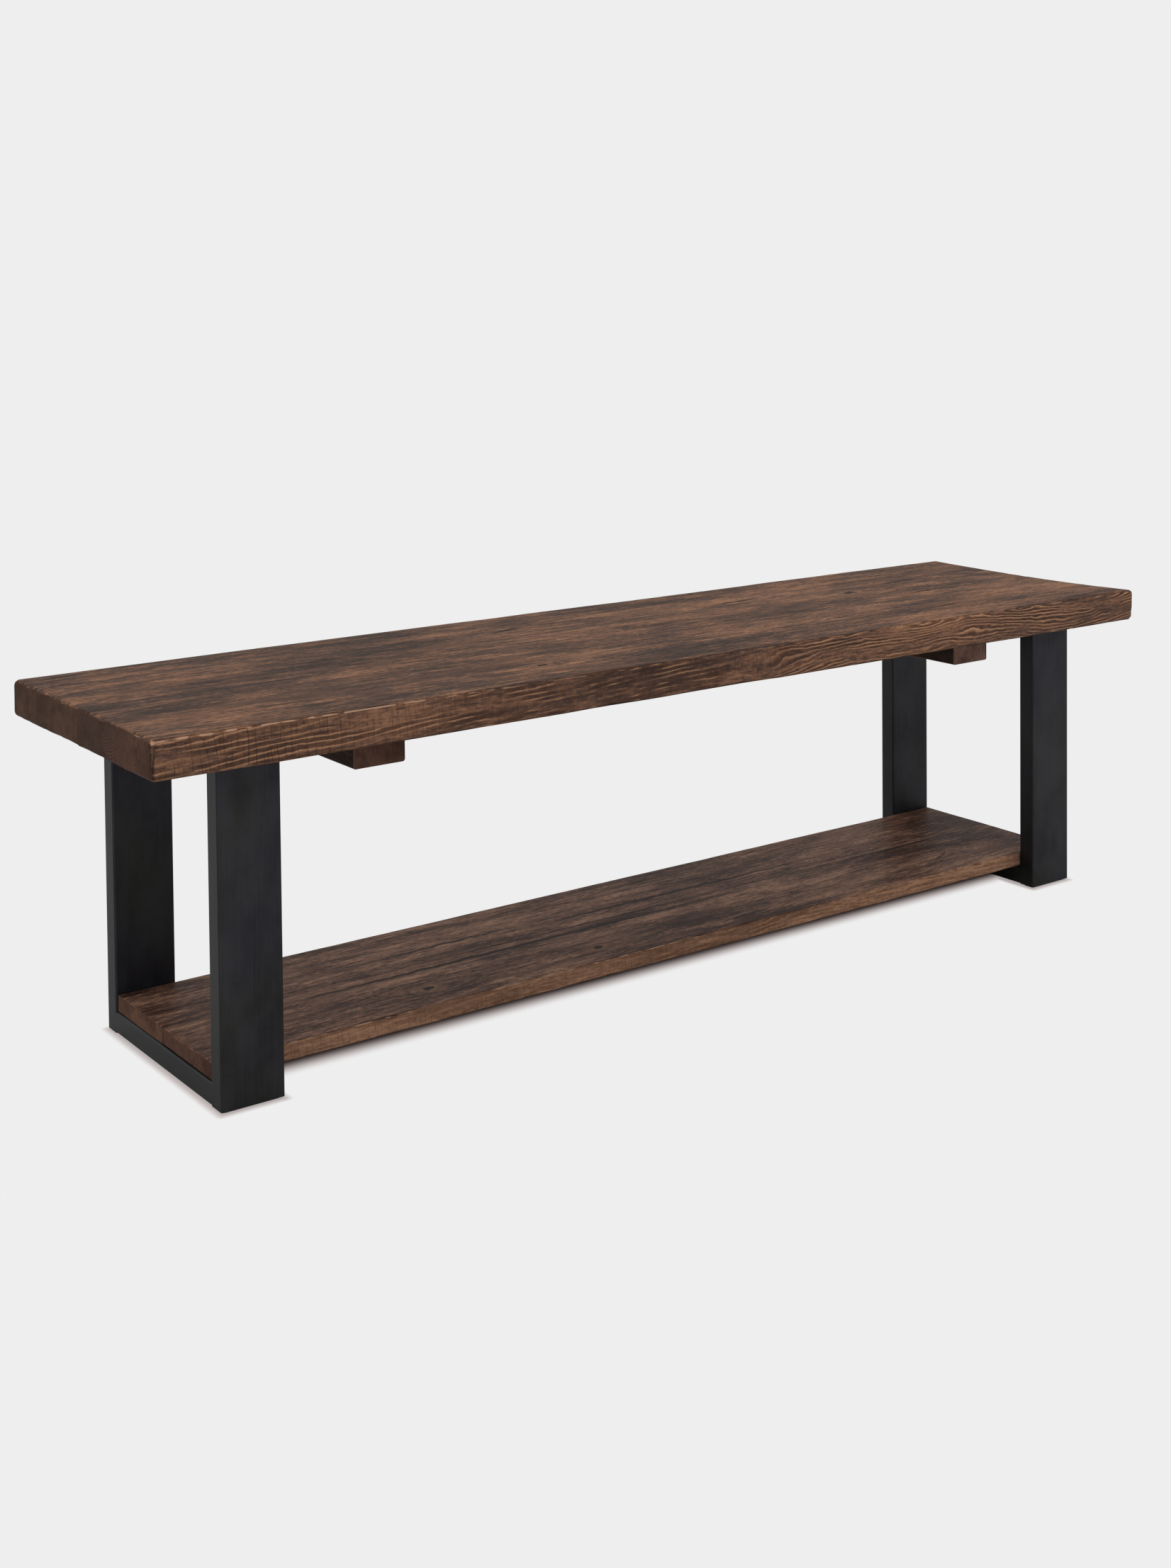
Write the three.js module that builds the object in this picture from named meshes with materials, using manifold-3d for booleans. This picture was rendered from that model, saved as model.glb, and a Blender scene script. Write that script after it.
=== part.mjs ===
// Entryway bench: a thick two-board wooden seat on two welded end frames of black rectangular steel
// tube, with a thinner two-board shelf lying on the frames' base rails. Two cleats under the seat
// hold its boards flat.
//
// Millimetres. +X runs along the bench, -Y is its front and +Z is up. The origin is on the floor
// under the middle of the seat. The left end is at -X.

import * as THREE from "three";
import { mergeVertices } from "three/addons/utils/BufferGeometryUtils.js";
import Module from "manifold-3d";

// ---------------------------------------------------------------- driving dimensions

const GAP = 0.3; // clearance between pieces that touch
const MARGIN = 1; // how far a cutter starts outside the face that it cuts
const HAIR = 0.4; // taken off an arris that is otherwise sharp

const SEAT = { length: 1524, width: 394, thickness: 43, top: 420, edge: 5 };
const SHELF = { thickness: 20, endInset: 1.7, sideGap: 1.2, edge: 1.5 };
const TUBE = { wide: 75, deep: 25, wall: 2, corner: 2.5 };
const FRAME = { reach: 671, depth: 305 }; // centre of the bench to a frame's outer face, front to back
const PLATE = { thickness: 5, corner: 3 };
const END_CAP = { thickness: 3, corner: 0.6 };
const FOOT_PAD = { thickness: 2, inset: 4, corner: 3 };
const CLEAT = { wide: 66, thickness: 35, length: 296, reach: 505, edge: 3 };

// Bolts stand "across" to either side of a frame's middle along X, and "apart" along Y.
const FRAME_BOLT = {
  shank: 6, length: 22, head: 10.5, headHeight: 3.3,
  socket: 4, socketDepth: 2, across: 22, apart: 90, holeSlack: 1,
};
const INSERT = { outer: 10, flange: 13, flangeThickness: 1, length: 18, room: 5 };
// Screws stand at the listed places along Y. "access" is the hole that lets a shelf screw into its rail.
const CLEAT_SCREW = {
  shank: 5, length: 55, head: 9.5, headHeight: 3.6, tip: 7, tipRadius: 0.4, sunk: 6,
  places: [-115, -45, 45, 115],
};
const SHELF_SCREW = {
  shank: 4.5, length: 18, head: 9, headHeight: 2.6, tip: 5, tipRadius: 0.4, access: 13,
  places: [-95, -32, 32, 95],
};

const ROUND_SIDES = 16; // sides of a turned piece
const HOLE_SIDES = 16;
const CORNER_STEPS = 4; // straight steps in a rounded corner

// ---------------------------------------------------------------- heights and places worked out from them

const seatBottom = SEAT.top - SEAT.thickness;
const plateBottom = seatBottom - GAP - PLATE.thickness;
const frameBottom = FOOT_PAD.thickness + GAP;
const legLength = plateBottom - GAP - frameBottom;
const railTop = frameBottom + TUBE.deep;
const shelfBottom = railTop + GAP;
const frameCentre = FRAME.reach - TUBE.wide / 2; // along X, from the middle of the bench
const legCentre = (FRAME.depth - TUBE.deep) / 2; // along Y
const cleatCentre = CLEAT.reach - CLEAT.wide / 2;
const cleatBottom = seatBottom - GAP - CLEAT.thickness;
const boardWidth = (SEAT.width - GAP) / 2;
const shelfLength = 2 * (FRAME.reach - SHELF.endInset);
const shelfWidth = FRAME.depth - 2 * TUBE.deep - 2 * SHELF.sideGap;
const shelfBoardWidth = (shelfWidth - GAP) / 2;
const ENDS = [["left", -1], ["right", 1]];
const SIDES = [["front", -1], ["rear", 1]];

// ---------------------------------------------------------------- materials

function finish(color, roughness, metalness) {
  return new THREE.MeshStandardMaterial({ color, roughness, metalness });
}

const seatWood = finish(0x68534a, 0.62, 0);
const shelfWood = finish(0x4f3c35, 0.55, 0);
const cleatWood = finish(0x4b3730, 0.7, 0);
const blackSteel = finish(0x2b2b2e, 0.45, 0.6);
const blackPlastic = finish(0x171718, 0.6, 0);
const zinc = finish(0x9a9a96, 0.4, 0.9);
const brass = finish(0xa98f4e, 0.4, 0.9);
const felt = finish(0x1c1a19, 0.95, 0);

// ---------------------------------------------------------------- solids

const wasm = await Module();
wasm.setup();

// A closed geometry as a solid that can be cut.
function solidOf(geometry) {
  const bare = new THREE.BufferGeometry();
  bare.setAttribute("position", geometry.getAttribute("position").clone());
  if (geometry.index) bare.setIndex(geometry.index.clone());
  const merged = mergeVertices(bare, 1e-4);
  return new wasm.Manifold(new wasm.Mesh({
    numProp: 3,
    vertProperties: new Float32Array(merged.attributes.position.array),
    triVerts: new Uint32Array(merged.index.array),
  }));
}

// A solid back as a geometry with flat faces.
function geometryOf(solid) {
  const mesh = solid.getMesh();
  const geometry = new THREE.BufferGeometry();
  geometry.setAttribute("position", new THREE.BufferAttribute(new Float32Array(mesh.vertProperties), 3));
  geometry.setIndex(new THREE.BufferAttribute(new Uint32Array(mesh.triVerts), 1));
  const flat = geometry.toNonIndexed();
  flat.computeVertexNormals();
  return flat;
}

// A geometry with other geometries cut out of it.
function cut(geometry, tools) {
  const whole = tools.reduce((solid, tool) => solid.subtract(solidOf(tool)), solidOf(geometry));
  return geometryOf(whole);
}

// A round hole's cutter along +Z, from zLow to zHigh.
function drill(x, y, zLow, zHigh, diameter) {
  const cutter = new THREE.CylinderGeometry(diameter / 2, diameter / 2, zHigh - zLow, HOLE_SIDES);
  return cutter.rotateX(Math.PI / 2).translate(x, y, (zLow + zHigh) / 2);
}

// A rectangle about the origin whose four corners are arcs, each with its own radius, counter-clockwise
// from the lower left.
function roundedRectangle(width, height, [lowerLeft, lowerRight, upperRight, upperLeft]) {
  const right = width / 2;
  const top = height / 2;
  const outline = new THREE.Shape();
  outline.moveTo(-right + lowerLeft, -top);
  outline.absarc(right - lowerRight, -top + lowerRight, lowerRight, -Math.PI / 2, 0);
  outline.absarc(right - upperRight, top - upperRight, upperRight, 0, Math.PI / 2);
  outline.absarc(-right + upperLeft, top - upperLeft, upperLeft, Math.PI / 2, Math.PI);
  outline.absarc(-right + lowerLeft, -top + lowerLeft, lowerLeft, Math.PI, 1.5 * Math.PI);
  return outline;
}

// An outline extruded along +Z and centred on the origin.
function extruded(outline, length) {
  const settings = { depth: length, bevelEnabled: false, curveSegments: CORNER_STEPS };
  const geometry = new THREE.ExtrudeGeometry(outline, settings);
  return geometry.translate(0, 0, -length / 2);
}

// A plate lying flat, with rounded corners, centred on the origin.
function plate(lengthX, lengthY, thickness, corner) {
  return extruded(roundedRectangle(lengthX, lengthY, [corner, corner, corner, corner]), thickness);
}

// A piece turned about Z: points are [radius, z] from the axis at the bottom to the axis at the top.
function turned(points) {
  const profile = points.map(([radius, z]) => new THREE.Vector2(radius, z));
  return new THREE.LatheGeometry(profile, ROUND_SIDES).rotateX(Math.PI / 2);
}

// ---------------------------------------------------------------- sub-parts, each about its own middle

// A straight length of rectangular tube along Z, open at both ends: its wide side along X.
function tube(length) {
  const { wide, deep, wall, corner } = TUBE;
  const inside = Math.max(corner - wall, 0.5);
  const outline = roundedRectangle(wide, deep, [corner, corner, corner, corner]);
  outline.holes.push(roundedRectangle(wide - 2 * wall, deep - 2 * wall, [inside, inside, inside, inside]));
  return extruded(outline, length);
}

// A board along X. Its outer long edges, on the side of Y that outerSide names, are rounded over;
// the inner ones are nearly square, where the next board meets them.
function board(length, width, thickness, edge, outerSide) {
  const corners = outerSide < 0 ? [edge, HAIR, HAIR, edge] : [HAIR, edge, edge, HAIR];
  const along = extruded(roundedRectangle(width, thickness, corners), length);
  return along.rotateX(Math.PI / 2).rotateZ(Math.PI / 2).rotateZ(Math.PI);
}

// A button-head bolt, head down, with a hexagon socket. z = 0 is the face under the head.
function frameBolt() {
  const { shank, length, head, headHeight, socket, socketDepth } = FRAME_BOLT;
  const dome = [
    [0, -headHeight], [head * 0.3, -headHeight],
    [head * 0.44, -headHeight * 0.6], [head / 2, -headHeight * 0.15], [head / 2, 0],
  ];
  const pointLength = 1;
  const thread = [
    [shank / 2, 0], [shank / 2, length - pointLength],
    [shank / 2 - pointLength, length], [0, length],
  ];
  const socketCorner = socket / Math.sqrt(3);
  const hexagon = new THREE.CylinderGeometry(socketCorner, socketCorner, 2 * socketDepth, 6);
  return cut(turned([...dome, ...thread]), [hexagon.rotateX(Math.PI / 2).translate(0, 0, -headHeight)]);
}

// A threaded insert, flange down. z = 0 is the flange's outer face, level with the wood.
function threadedInsert() {
  const { outer, flange, flangeThickness, length } = INSERT;
  const bore = FRAME_BOLT.shank / 2 + GAP;
  const lead = 1; // the eased end that enters the wood first
  return turned([
    [bore, 0], [flange / 2, 0], [flange / 2, flangeThickness], [outer / 2, flangeThickness],
    [outer / 2, length - lead], [outer / 2 - lead, length], [bore, length], [bore, 0],
  ]);
}

// A wood screw, head down. z = 0 is the face under a pan head, or the widest ring of a sunk one.
function woodScrew({ shank, length, head, headHeight, tip, tipRadius }, countersunk) {
  const sunkHead = [[0, 0], [head / 2, 0], [shank / 2, headHeight]];
  const panHead = [
    [0, -headHeight], [head * 0.33, -headHeight],
    [head / 2, -headHeight * 0.4], [head / 2, 0], [shank / 2, 0],
  ];
  const underHead = countersunk ? sunkHead : panHead;
  const top = [[shank / 2, length - tip], [tipRadius, length], [0, length]];
  const slotDepth = headHeight * 0.45;
  const bottom = countersunk ? 0 : -headHeight;
  const slots = [0, Math.PI / 2].map((turn) =>
    new THREE.BoxGeometry(head * 0.6, head * 0.14, 2 * slotDepth).rotateZ(turn).translate(0, 0, bottom));
  return cut(turned([...underHead, ...top]), slots);
}

// The seat's boards are bored from below for the frame inserts and the cleat screws.
function seatBoard(side, middleY) {
  const bottom = -SEAT.thickness / 2;
  const from = bottom - MARGIN;
  const insertTop = bottom + INSERT.length + INSERT.room;
  const flangeTop = bottom + INSERT.flangeThickness + 2 * GAP;
  const screwTop = bottom + CLEAT_SCREW.length - (CLEAT.thickness - CLEAT_SCREW.sunk) + MARGIN;
  const holes = [];
  for (const [, end] of ENDS) {
    for (const across of [-1, 1]) {
      const x = end * frameCentre + across * FRAME_BOLT.across;
      const y = side * FRAME_BOLT.apart - middleY;
      holes.push(drill(x, y, from, insertTop, INSERT.outer + 2 * GAP));
      holes.push(drill(x, y, from, flangeTop, INSERT.flange + 2 * GAP));
    }
    for (const place of CLEAT_SCREW.places.filter((y) => y * side > 0)) {
      holes.push(drill(end * cleatCentre, place - middleY, from, screwTop, CLEAT_SCREW.shank + 2 * GAP));
    }
  }
  return cut(board(SEAT.length, boardWidth, SEAT.thickness, SEAT.edge, side), holes);
}

// The shelf's boards have pilot holes for the screws that come up through the base rails.
function shelfBoard(side, middleY) {
  const bottom = -SHELF.thickness / 2;
  const holeTop = bottom + SHELF_SCREW.length - TUBE.wall;
  const places = SHELF_SCREW.places.filter((y) => y * side > 0);
  const holes = ENDS.flatMap(([, end]) => places.map((place) =>
    drill(end * frameCentre, place - middleY, bottom - MARGIN, holeTop, SHELF_SCREW.shank + 2 * GAP)));
  return cut(board(shelfLength, shelfBoardWidth, SHELF.thickness, SHELF.edge, side), holes);
}

// A cleat lies across the boards, with a stepped hole for each screw so that its head is sunk.
function cleat() {
  const { edge, wide, thickness, length } = CLEAT;
  const { shank, head, headHeight, sunk } = CLEAT_SCREW;
  const section = roundedRectangle(wide, thickness, [edge, edge, HAIR, HAIR]);
  const lying = extruded(section, length).rotateX(Math.PI / 2);
  const top = thickness / 2;
  const holes = CLEAT_SCREW.places.flatMap((y) => [
    drill(0, y, -top - MARGIN, -top + sunk + headHeight, head + 2 * GAP),
    drill(0, y, -top - MARGIN, top + MARGIN, shank + 2 * GAP),
  ]);
  return cut(lying, holes);
}

// The rail between a frame's legs, along Y: a clearance hole for each shelf screw in its upper wall,
// and below it a wider one that lets the screw and its driver in.
function baseRail() {
  const along = tube(FRAME.depth - 2 * TUBE.deep - 2 * GAP).rotateX(Math.PI / 2);
  const top = TUBE.deep / 2;
  const holes = SHELF_SCREW.places.flatMap((y) => [
    drill(0, y, top - 2 * TUBE.wall, top + MARGIN, SHELF_SCREW.shank + 2 * GAP),
    drill(0, y, -top - MARGIN, -top + 2 * TUBE.wall, SHELF_SCREW.access),
  ]);
  return cut(along, holes);
}

// The plate across the tops of a frame's legs, with four holes for the bolts into the seat.
function topPlate() {
  const { thickness, corner } = PLATE;
  const { across, apart, shank, holeSlack } = FRAME_BOLT;
  const holes = SIDES.flatMap(([, side]) => [-across, across].map((x) =>
    drill(x, side * apart, -thickness, thickness, shank + holeSlack)));
  return cut(plate(TUBE.wide, FRAME.depth, thickness, corner), holes);
}

// ---------------------------------------------------------------- the bench

const bench = new THREE.Group();

function add(parent, name, geometry, material, x, y, z) {
  const mesh = new THREE.Mesh(geometry, material);
  mesh.name = name;
  mesh.position.set(x, y, z);
  parent.add(mesh);
}

function addSeat() {
  for (const [name, side] of SIDES) {
    const y = side * (boardWidth + GAP) / 2;
    add(bench, `seat_board_${name}`, seatBoard(side, y), seatWood, 0, y, SEAT.top - SEAT.thickness / 2);
  }
}

function addCleats() {
  for (const [name, end] of ENDS) {
    const x = end * cleatCentre;
    add(bench, `seat_cleat_${name}`, cleat(), cleatWood, x, 0, cleatBottom + CLEAT.thickness / 2);
    CLEAT_SCREW.places.forEach((y, i) => {
      const screw = woodScrew(CLEAT_SCREW, true);
      add(bench, `cleat_screw_${name}_${i + 1}`, screw, zinc, x, y, cleatBottom + CLEAT_SCREW.sunk);
    });
  }
}

function addShelf() {
  for (const [name, side] of SIDES) {
    const y = side * (shelfBoardWidth + GAP) / 2;
    const z = shelfBottom + SHELF.thickness / 2;
    add(bench, `shelf_board_${name}`, shelfBoard(side, y), shelfWood, 0, y, z);
  }
}

function legWithFoot(frame, name, side) {
  const y = side * legCentre;
  const { wide, deep, wall } = TUBE;
  const { thickness, inset, corner } = FOOT_PAD;
  const inside = wall + GAP;
  const endCap = plate(wide - 2 * inside, deep - 2 * inside, END_CAP.thickness, END_CAP.corner);
  const footPad = plate(wide - 2 * inset, deep - 2 * inset, thickness, corner);
  add(frame, `leg_${name}`, tube(legLength), blackSteel, 0, y, frameBottom + legLength / 2);
  add(frame, `leg_end_cap_${name}`, endCap, blackPlastic, 0, y, frameBottom + END_CAP.thickness / 2);
  add(frame, `foot_pad_${name}`, footPad, felt, 0, y, thickness / 2);
}

function addFrame(endName, end) {
  const frame = new THREE.Group();
  frame.position.x = end * frameCentre;
  bench.add(frame);
  for (const [sideName, side] of SIDES) legWithFoot(frame, `${endName}_${sideName}`, side);
  add(frame, `base_rail_${endName}`, baseRail(), blackSteel, 0, 0, frameBottom + TUBE.deep / 2);
  add(frame, `top_plate_${endName}`, topPlate(), blackSteel, 0, 0, plateBottom + PLATE.thickness / 2);
  for (const [sideName, side] of SIDES) {
    [-1, 1].forEach((across, i) => {
      const at = [across * FRAME_BOLT.across, side * FRAME_BOLT.apart];
      const label = `${endName}_${sideName}_${i + 1}`;
      add(frame, `frame_bolt_${label}`, frameBolt(), zinc, ...at, plateBottom - GAP);
      add(frame, `seat_insert_${label}`, threadedInsert(), brass, ...at, seatBottom + GAP);
    });
  }
  SHELF_SCREW.places.forEach((y, i) => {
    const screw = woodScrew(SHELF_SCREW, false);
    add(frame, `shelf_screw_${endName}_${i + 1}`, screw, zinc, 0, y, railTop - TUBE.wall - GAP);
  });
}

addSeat();
addCleats();
addShelf();
for (const [name, end] of ENDS) addFrame(name, end);

export default bench;
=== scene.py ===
"""The looks of the entryway bench: worn, stained softwood on end frames of brushed black steel tube.

Metres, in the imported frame: +X along the bench, -Y its front, +Z up. Sizes written in millimetres are
multiplied by MM. Every board of the seat and the shelf is a fine mesh that stands for a plain CAD
board. The cleats, the steel and the fixings are the CAD pieces with their sharp edges eased.
"""

import itertools
import math

import bmesh
import bpy
import numpy as np
from mathutils import Matrix, Vector


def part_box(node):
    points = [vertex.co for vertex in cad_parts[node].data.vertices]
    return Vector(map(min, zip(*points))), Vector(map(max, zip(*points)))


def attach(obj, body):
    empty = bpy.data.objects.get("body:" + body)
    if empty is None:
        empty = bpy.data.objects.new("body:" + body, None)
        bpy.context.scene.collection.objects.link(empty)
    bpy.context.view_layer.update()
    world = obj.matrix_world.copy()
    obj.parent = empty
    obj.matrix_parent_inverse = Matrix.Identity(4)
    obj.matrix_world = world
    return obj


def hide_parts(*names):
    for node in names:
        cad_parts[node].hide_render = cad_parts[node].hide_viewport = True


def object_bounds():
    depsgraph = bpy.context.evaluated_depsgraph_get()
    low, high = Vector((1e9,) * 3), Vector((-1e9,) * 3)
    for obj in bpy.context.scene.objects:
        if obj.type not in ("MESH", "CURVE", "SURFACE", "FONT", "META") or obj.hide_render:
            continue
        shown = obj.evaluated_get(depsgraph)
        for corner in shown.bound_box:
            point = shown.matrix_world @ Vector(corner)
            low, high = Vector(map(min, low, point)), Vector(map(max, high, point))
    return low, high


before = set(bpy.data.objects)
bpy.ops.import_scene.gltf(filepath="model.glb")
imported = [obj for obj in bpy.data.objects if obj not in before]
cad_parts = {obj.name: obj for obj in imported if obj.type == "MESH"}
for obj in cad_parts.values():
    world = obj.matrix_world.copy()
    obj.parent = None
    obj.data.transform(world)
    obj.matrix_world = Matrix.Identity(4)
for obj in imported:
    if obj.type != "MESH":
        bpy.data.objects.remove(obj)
CAD_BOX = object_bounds()

MM = 0.001
SCENE = bpy.context.scene

# ---------------------------------------------------------------- camera

CAMERA_PLACE = (-1.5565, -2.0382, 0.8770)
CAMERA_HEADING = -35.98  # degrees about +Z, from looking along +Y
CAMERA_PITCH = -2.13  # a little down
CAMERA_ROLL = -0.53
CAMERA_LENS = 45.19  # millimetres
CAMERA_SHIFT = -0.2741  # the horizon lies above the middle of the picture


def add_camera():
    camera = bpy.data.objects.new("camera", bpy.data.cameras.new("camera"))
    SCENE.collection.objects.link(camera)
    heading, pitch, roll = (math.radians(a) for a in (CAMERA_HEADING, CAMERA_PITCH, CAMERA_ROLL))
    forward = Vector((
        -math.sin(heading) * math.cos(pitch),
        math.cos(heading) * math.cos(pitch),
        math.sin(pitch)))
    level = Vector((math.cos(heading), math.sin(heading), 0))
    upright = level.cross(forward)
    right = level * math.cos(roll) + upright * math.sin(roll)
    up = upright * math.cos(roll) - level * math.sin(roll)
    turn = Matrix((right, up, -forward)).transposed().to_4x4()
    camera.matrix_world = Matrix.Translation(CAMERA_PLACE) @ turn
    camera.data.lens = CAMERA_LENS
    camera.data.shift_y = CAMERA_SHIFT
    camera.data.clip_end = 200
    SCENE.camera = camera


# ---------------------------------------------------------------- node trees


def paint(red, green, blue):
    """A linear colour from display values of 0 to 255, by the sRGB curve."""
    shares = (value / 255 for value in (red, green, blue))
    linear = (((c + 0.055) / 1.055) ** 2.4 if c > 0.04045 else c / 12.92 for c in shares)
    return (*linear, 1.0)


class Nodes:
    """A node tree, with short ways to add the nodes that the materials here use."""

    def __init__(self, tree):
        self.tree = tree

    def feed(self, socket, value):
        if isinstance(value, bpy.types.NodeSocket):
            self.tree.links.new(value, socket)
        else:
            socket.default_value = value

    def add(self, kind, inputs, **settings):
        node = self.tree.nodes.new("ShaderNode" + kind)
        for key, value in settings.items():
            setattr(node, key, value)
        for key, value in inputs.items():
            self.feed(node.inputs[key], value)
        return node

    def calc(self, operation, *values):
        return self.add("Math", dict(enumerate(values)), operation=operation).outputs[0]

    def times(self, first, second):
        return self.calc("MULTIPLY", first, second)

    def minus(self, first, second):
        return self.calc("SUBTRACT", first, second)

    def squares(self, first, second):
        """The sum of two squares."""
        return self.calc("ADD", self.calc("POWER", first, 2.0), self.calc("POWER", second, 2.0))

    def vector(self, operation, *values):
        return self.add("VectorMath", dict(enumerate(values)), operation=operation).outputs[0]

    def split(self, vector):
        return self.add("SeparateXYZ", {0: vector}).outputs[:]

    def join(self, x, y, z):
        return self.add("CombineXYZ", {0: x, 1: y, 2: z}).outputs[0]

    def noise(self, place, scale, detail=2.0, roughness=0.5):
        """Noise from about 0.2 to 0.8, with scale giving its cells per metre along x, y and z."""
        spread = self.vector("MULTIPLY", place, scale)
        inputs = {"Vector": spread, "Scale": 1.0, "Detail": detail, "Roughness": roughness}
        return self.add("TexNoise", inputs).outputs[0]

    def rise(self, value, low, high):
        """0 below low, 1 above high, and smooth between them."""
        inputs = {"Value": value, "From Min": low, "From Max": high}
        return self.add("MapRange", inputs, interpolation_type="SMOOTHSTEP").outputs[0]

    def fall(self, value, low, high):
        """1 below low and 0 above high."""
        return self.minus(1.0, self.rise(value, low, high))

    def between(self, share, first, second):
        """first where share is 0, second where it is 1."""
        return self.add("Mix", {0: share, 2: first, 3: second}, data_type="FLOAT").outputs[0]

    def mix(self, share, below, above):
        """The colour below with a share of the colour above over it."""
        return self.add("Mix", {0: share, 6: below, 7: above}, data_type="RGBA").outputs[2]


class Surface(Nodes):
    """A material under construction, on one Principled shader."""

    def __init__(self, name, **constants):
        self.material = bpy.data.materials.new(name)
        self.material.use_nodes = True
        super().__init__(self.material.node_tree)
        self.shader = self.tree.nodes["Principled BSDF"]
        for key, value in constants.items():
            self.shader.inputs[key.replace("_", " ")].default_value = value
        self.place = self.add("TexCoord", {}).outputs["Object"]

    def facing(self):
        """How far the surface faces along x, y and z, either way."""
        normal = self.add("NewGeometry", {}).outputs["Normal"]
        return [self.calc("ABSOLUTE", part) for part in self.split(normal)]

    def finish(self, colour, roughness, height, depth):
        """The finished material, with bumps as deep as depth where height goes from 0 to 1."""
        self.feed(self.shader.inputs["Base Color"], colour)
        self.feed(self.shader.inputs["Roughness"], roughness)
        bump = self.add("Bump", {"Height": height, "Distance": depth, "Strength": 1.0})
        self.feed(self.shader.inputs["Normal"], bump.outputs[0])
        return self.material


# ---------------------------------------------------------------- wood

# Tones run from the darkest streak to the palest worn grain.
SEAT_TONES = [
    paint(44, 31, 25), paint(67, 49, 39), paint(87, 63, 50), paint(112, 78, 58), paint(148, 107, 79)]
SHELF_TONES = [
    paint(50, 33, 28), paint(74, 53, 44), paint(96, 72, 60), paint(118, 88, 72), paint(152, 117, 95)]
TONE_STOPS = (0.20, 0.40, 0.51, 0.64, 0.84)
PALE_GRAIN = paint(178, 134, 102)
# the pale of rubbed-off stain, also a painted highlight along the top front arrises
RUBBED_EDGE_AND_HIGHLIGHT = paint(206, 166, 138)
DARK_GRAIN = paint(52, 35, 28)
# the darkest brown of knots and cracks, also painted as shade over the cleats' sides
DEEP_BROWN_AND_SHADE = paint(26, 19, 16)
RING_PITCH = 3.4 * MM
LINE_PITCH = 2 * RING_PITCH  # of the long grain lines on a side
SAW_PITCH = 9 * MM
WOOD_RELIEF = 0.4 * MM  # how deep the grain and the saw's cuts are
LINES_BREAK_UP = (-0.55, -0.35)  # left of this stretch of x the grain lines are whole
LINES_TO_RINGS = (-0.02, 0.14)  # over this stretch of x they give way to growth rings
KNOT_REACH = 6  # how far along the grain a knot bends it, in knot radii
KNOT_WIDTH = 2.4  # and across the grain
KNOT_BEND = 0.8  # how far the grain lines part: 1 would push them all aside


def weigh(s, start, *terms):
    """start plus each noise's swing about one half, times its weight."""
    total = start
    for value, weight in terms:
        total = s.calc("MULTIPLY_ADD", s.minus(value, 0.5), weight, total)
    return total


def bend_round_knots(s, place, knots, axis):
    """The place to read the grain at, so that its lines part and flow round each knot.

    A knot is (x, its place along y or z, its radius), and axis is 1 for y or 2 for z.
    """
    for at_x, at_side, radius in knots:
        parts = list(s.split(place))
        along = s.calc("DIVIDE", s.minus(parts[0], at_x), KNOT_REACH * radius)
        aside = s.minus(parts[axis], at_side)
        away = s.squares(along, s.calc("DIVIDE", aside, KNOT_WIDTH * radius))
        pull = s.times(s.calc("EXPONENT", s.times(away, -1.0)), KNOT_BEND)
        parts[axis] = s.minus(parts[axis], s.times(aside, pull))
        place = s.join(*parts)
    return place


def ring_bands(s, place, pith):
    """Growth rings, 0 dark and 1 pale, about a pith at one (y, z) on the left and one on the right."""
    x, y, z = s.split(place)
    (left_y, left_z), (right_y, right_z) = pith
    wander = weigh(s, 0.0, (s.noise(place, (2.6, 0, 0), 1.0), 0.04))
    pith_y = s.between(s.rise(x, -0.9, 0.6), left_y, right_y)
    pith_z = s.between(s.rise(x, -0.80, -0.25), left_z, right_z)
    off_y = s.minus(s.minus(y, pith_y), wander)
    off_z = s.calc("ADD", s.minus(z, pith_z), wander)
    reach = s.calc("SQRT", s.squares(off_y, off_z))
    swell = s.noise(place, (7, 24, 24), 2.0)
    quiver = s.noise(place, (45, 130, 130), 2.0)
    reach = weigh(s, reach, (swell, 0.016), (quiver, 0.0035))
    phase = s.calc("FRACT", s.calc("DIVIDE", reach, RING_PITCH))
    return s.times(s.rise(phase, 0.25, 0.78), s.fall(phase, 0.82, 0.98))


def long_lines(s, place):
    """Thin wavy grain lines on a board's side, which climb and break up to the right. 1 is on a line."""
    x, y, z = s.split(place)
    swell = s.noise(place, (5, 30, 30), 2.0)
    quiver = s.noise(place, (60, 150, 150), 2.0)
    level = weigh(s, s.calc("MULTIPLY_ADD", x, -0.06, z), (swell, 0.018), (quiver, 0.003))
    phase = s.calc("FRACT", s.calc("DIVIDE", level, LINE_PITCH))
    line = s.times(s.rise(phase, 0.45, 0.85), s.fall(phase, 0.88, 0.99))
    pieces = s.rise(s.noise(place, (26, 40, 95), 3.0), 0.40, 0.60)
    return s.times(line, s.between(s.rise(x, *LINES_BREAK_UP), 1.0, pieces))


def saw_marks(s, place, reach):
    """Upright cuts left by the saw. 1 is in a cut.

    Fine ones run from the left end to about x = reach, and long ones fade out well before it.
    """
    x, y, z = s.split(place)
    slanted = s.calc("MULTIPLY_ADD", z, 0.10, x)
    jitter = s.noise(s.join(slanted, 0.0, z), (30, 1, 4), 2.0)
    phase = s.calc("FRACT", weigh(s, s.calc("DIVIDE", slanted, SAW_PITCH), (jitter, 3.0)))
    lines = s.fall(s.calc("ABSOLUTE", s.minus(phase, 0.5)), 0.01, 0.08)
    pieces = s.rise(s.noise(place, (35, 35, 38), 2.0), 0.34, 0.60)
    hatch = s.times(s.rise(s.noise(place, (420, 60, 40), 2.0), 0.48, 0.80), 0.55)
    lines = s.times(lines, s.between(s.fall(x, reach - 0.75, reach - 0.35), 0.15, 1.0))
    near = s.between(s.fall(x, reach - 0.1, reach + 0.1), 0.15, 1.0)
    return s.times(s.calc("MAXIMUM", s.times(lines, pieces), hatch), near)


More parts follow.
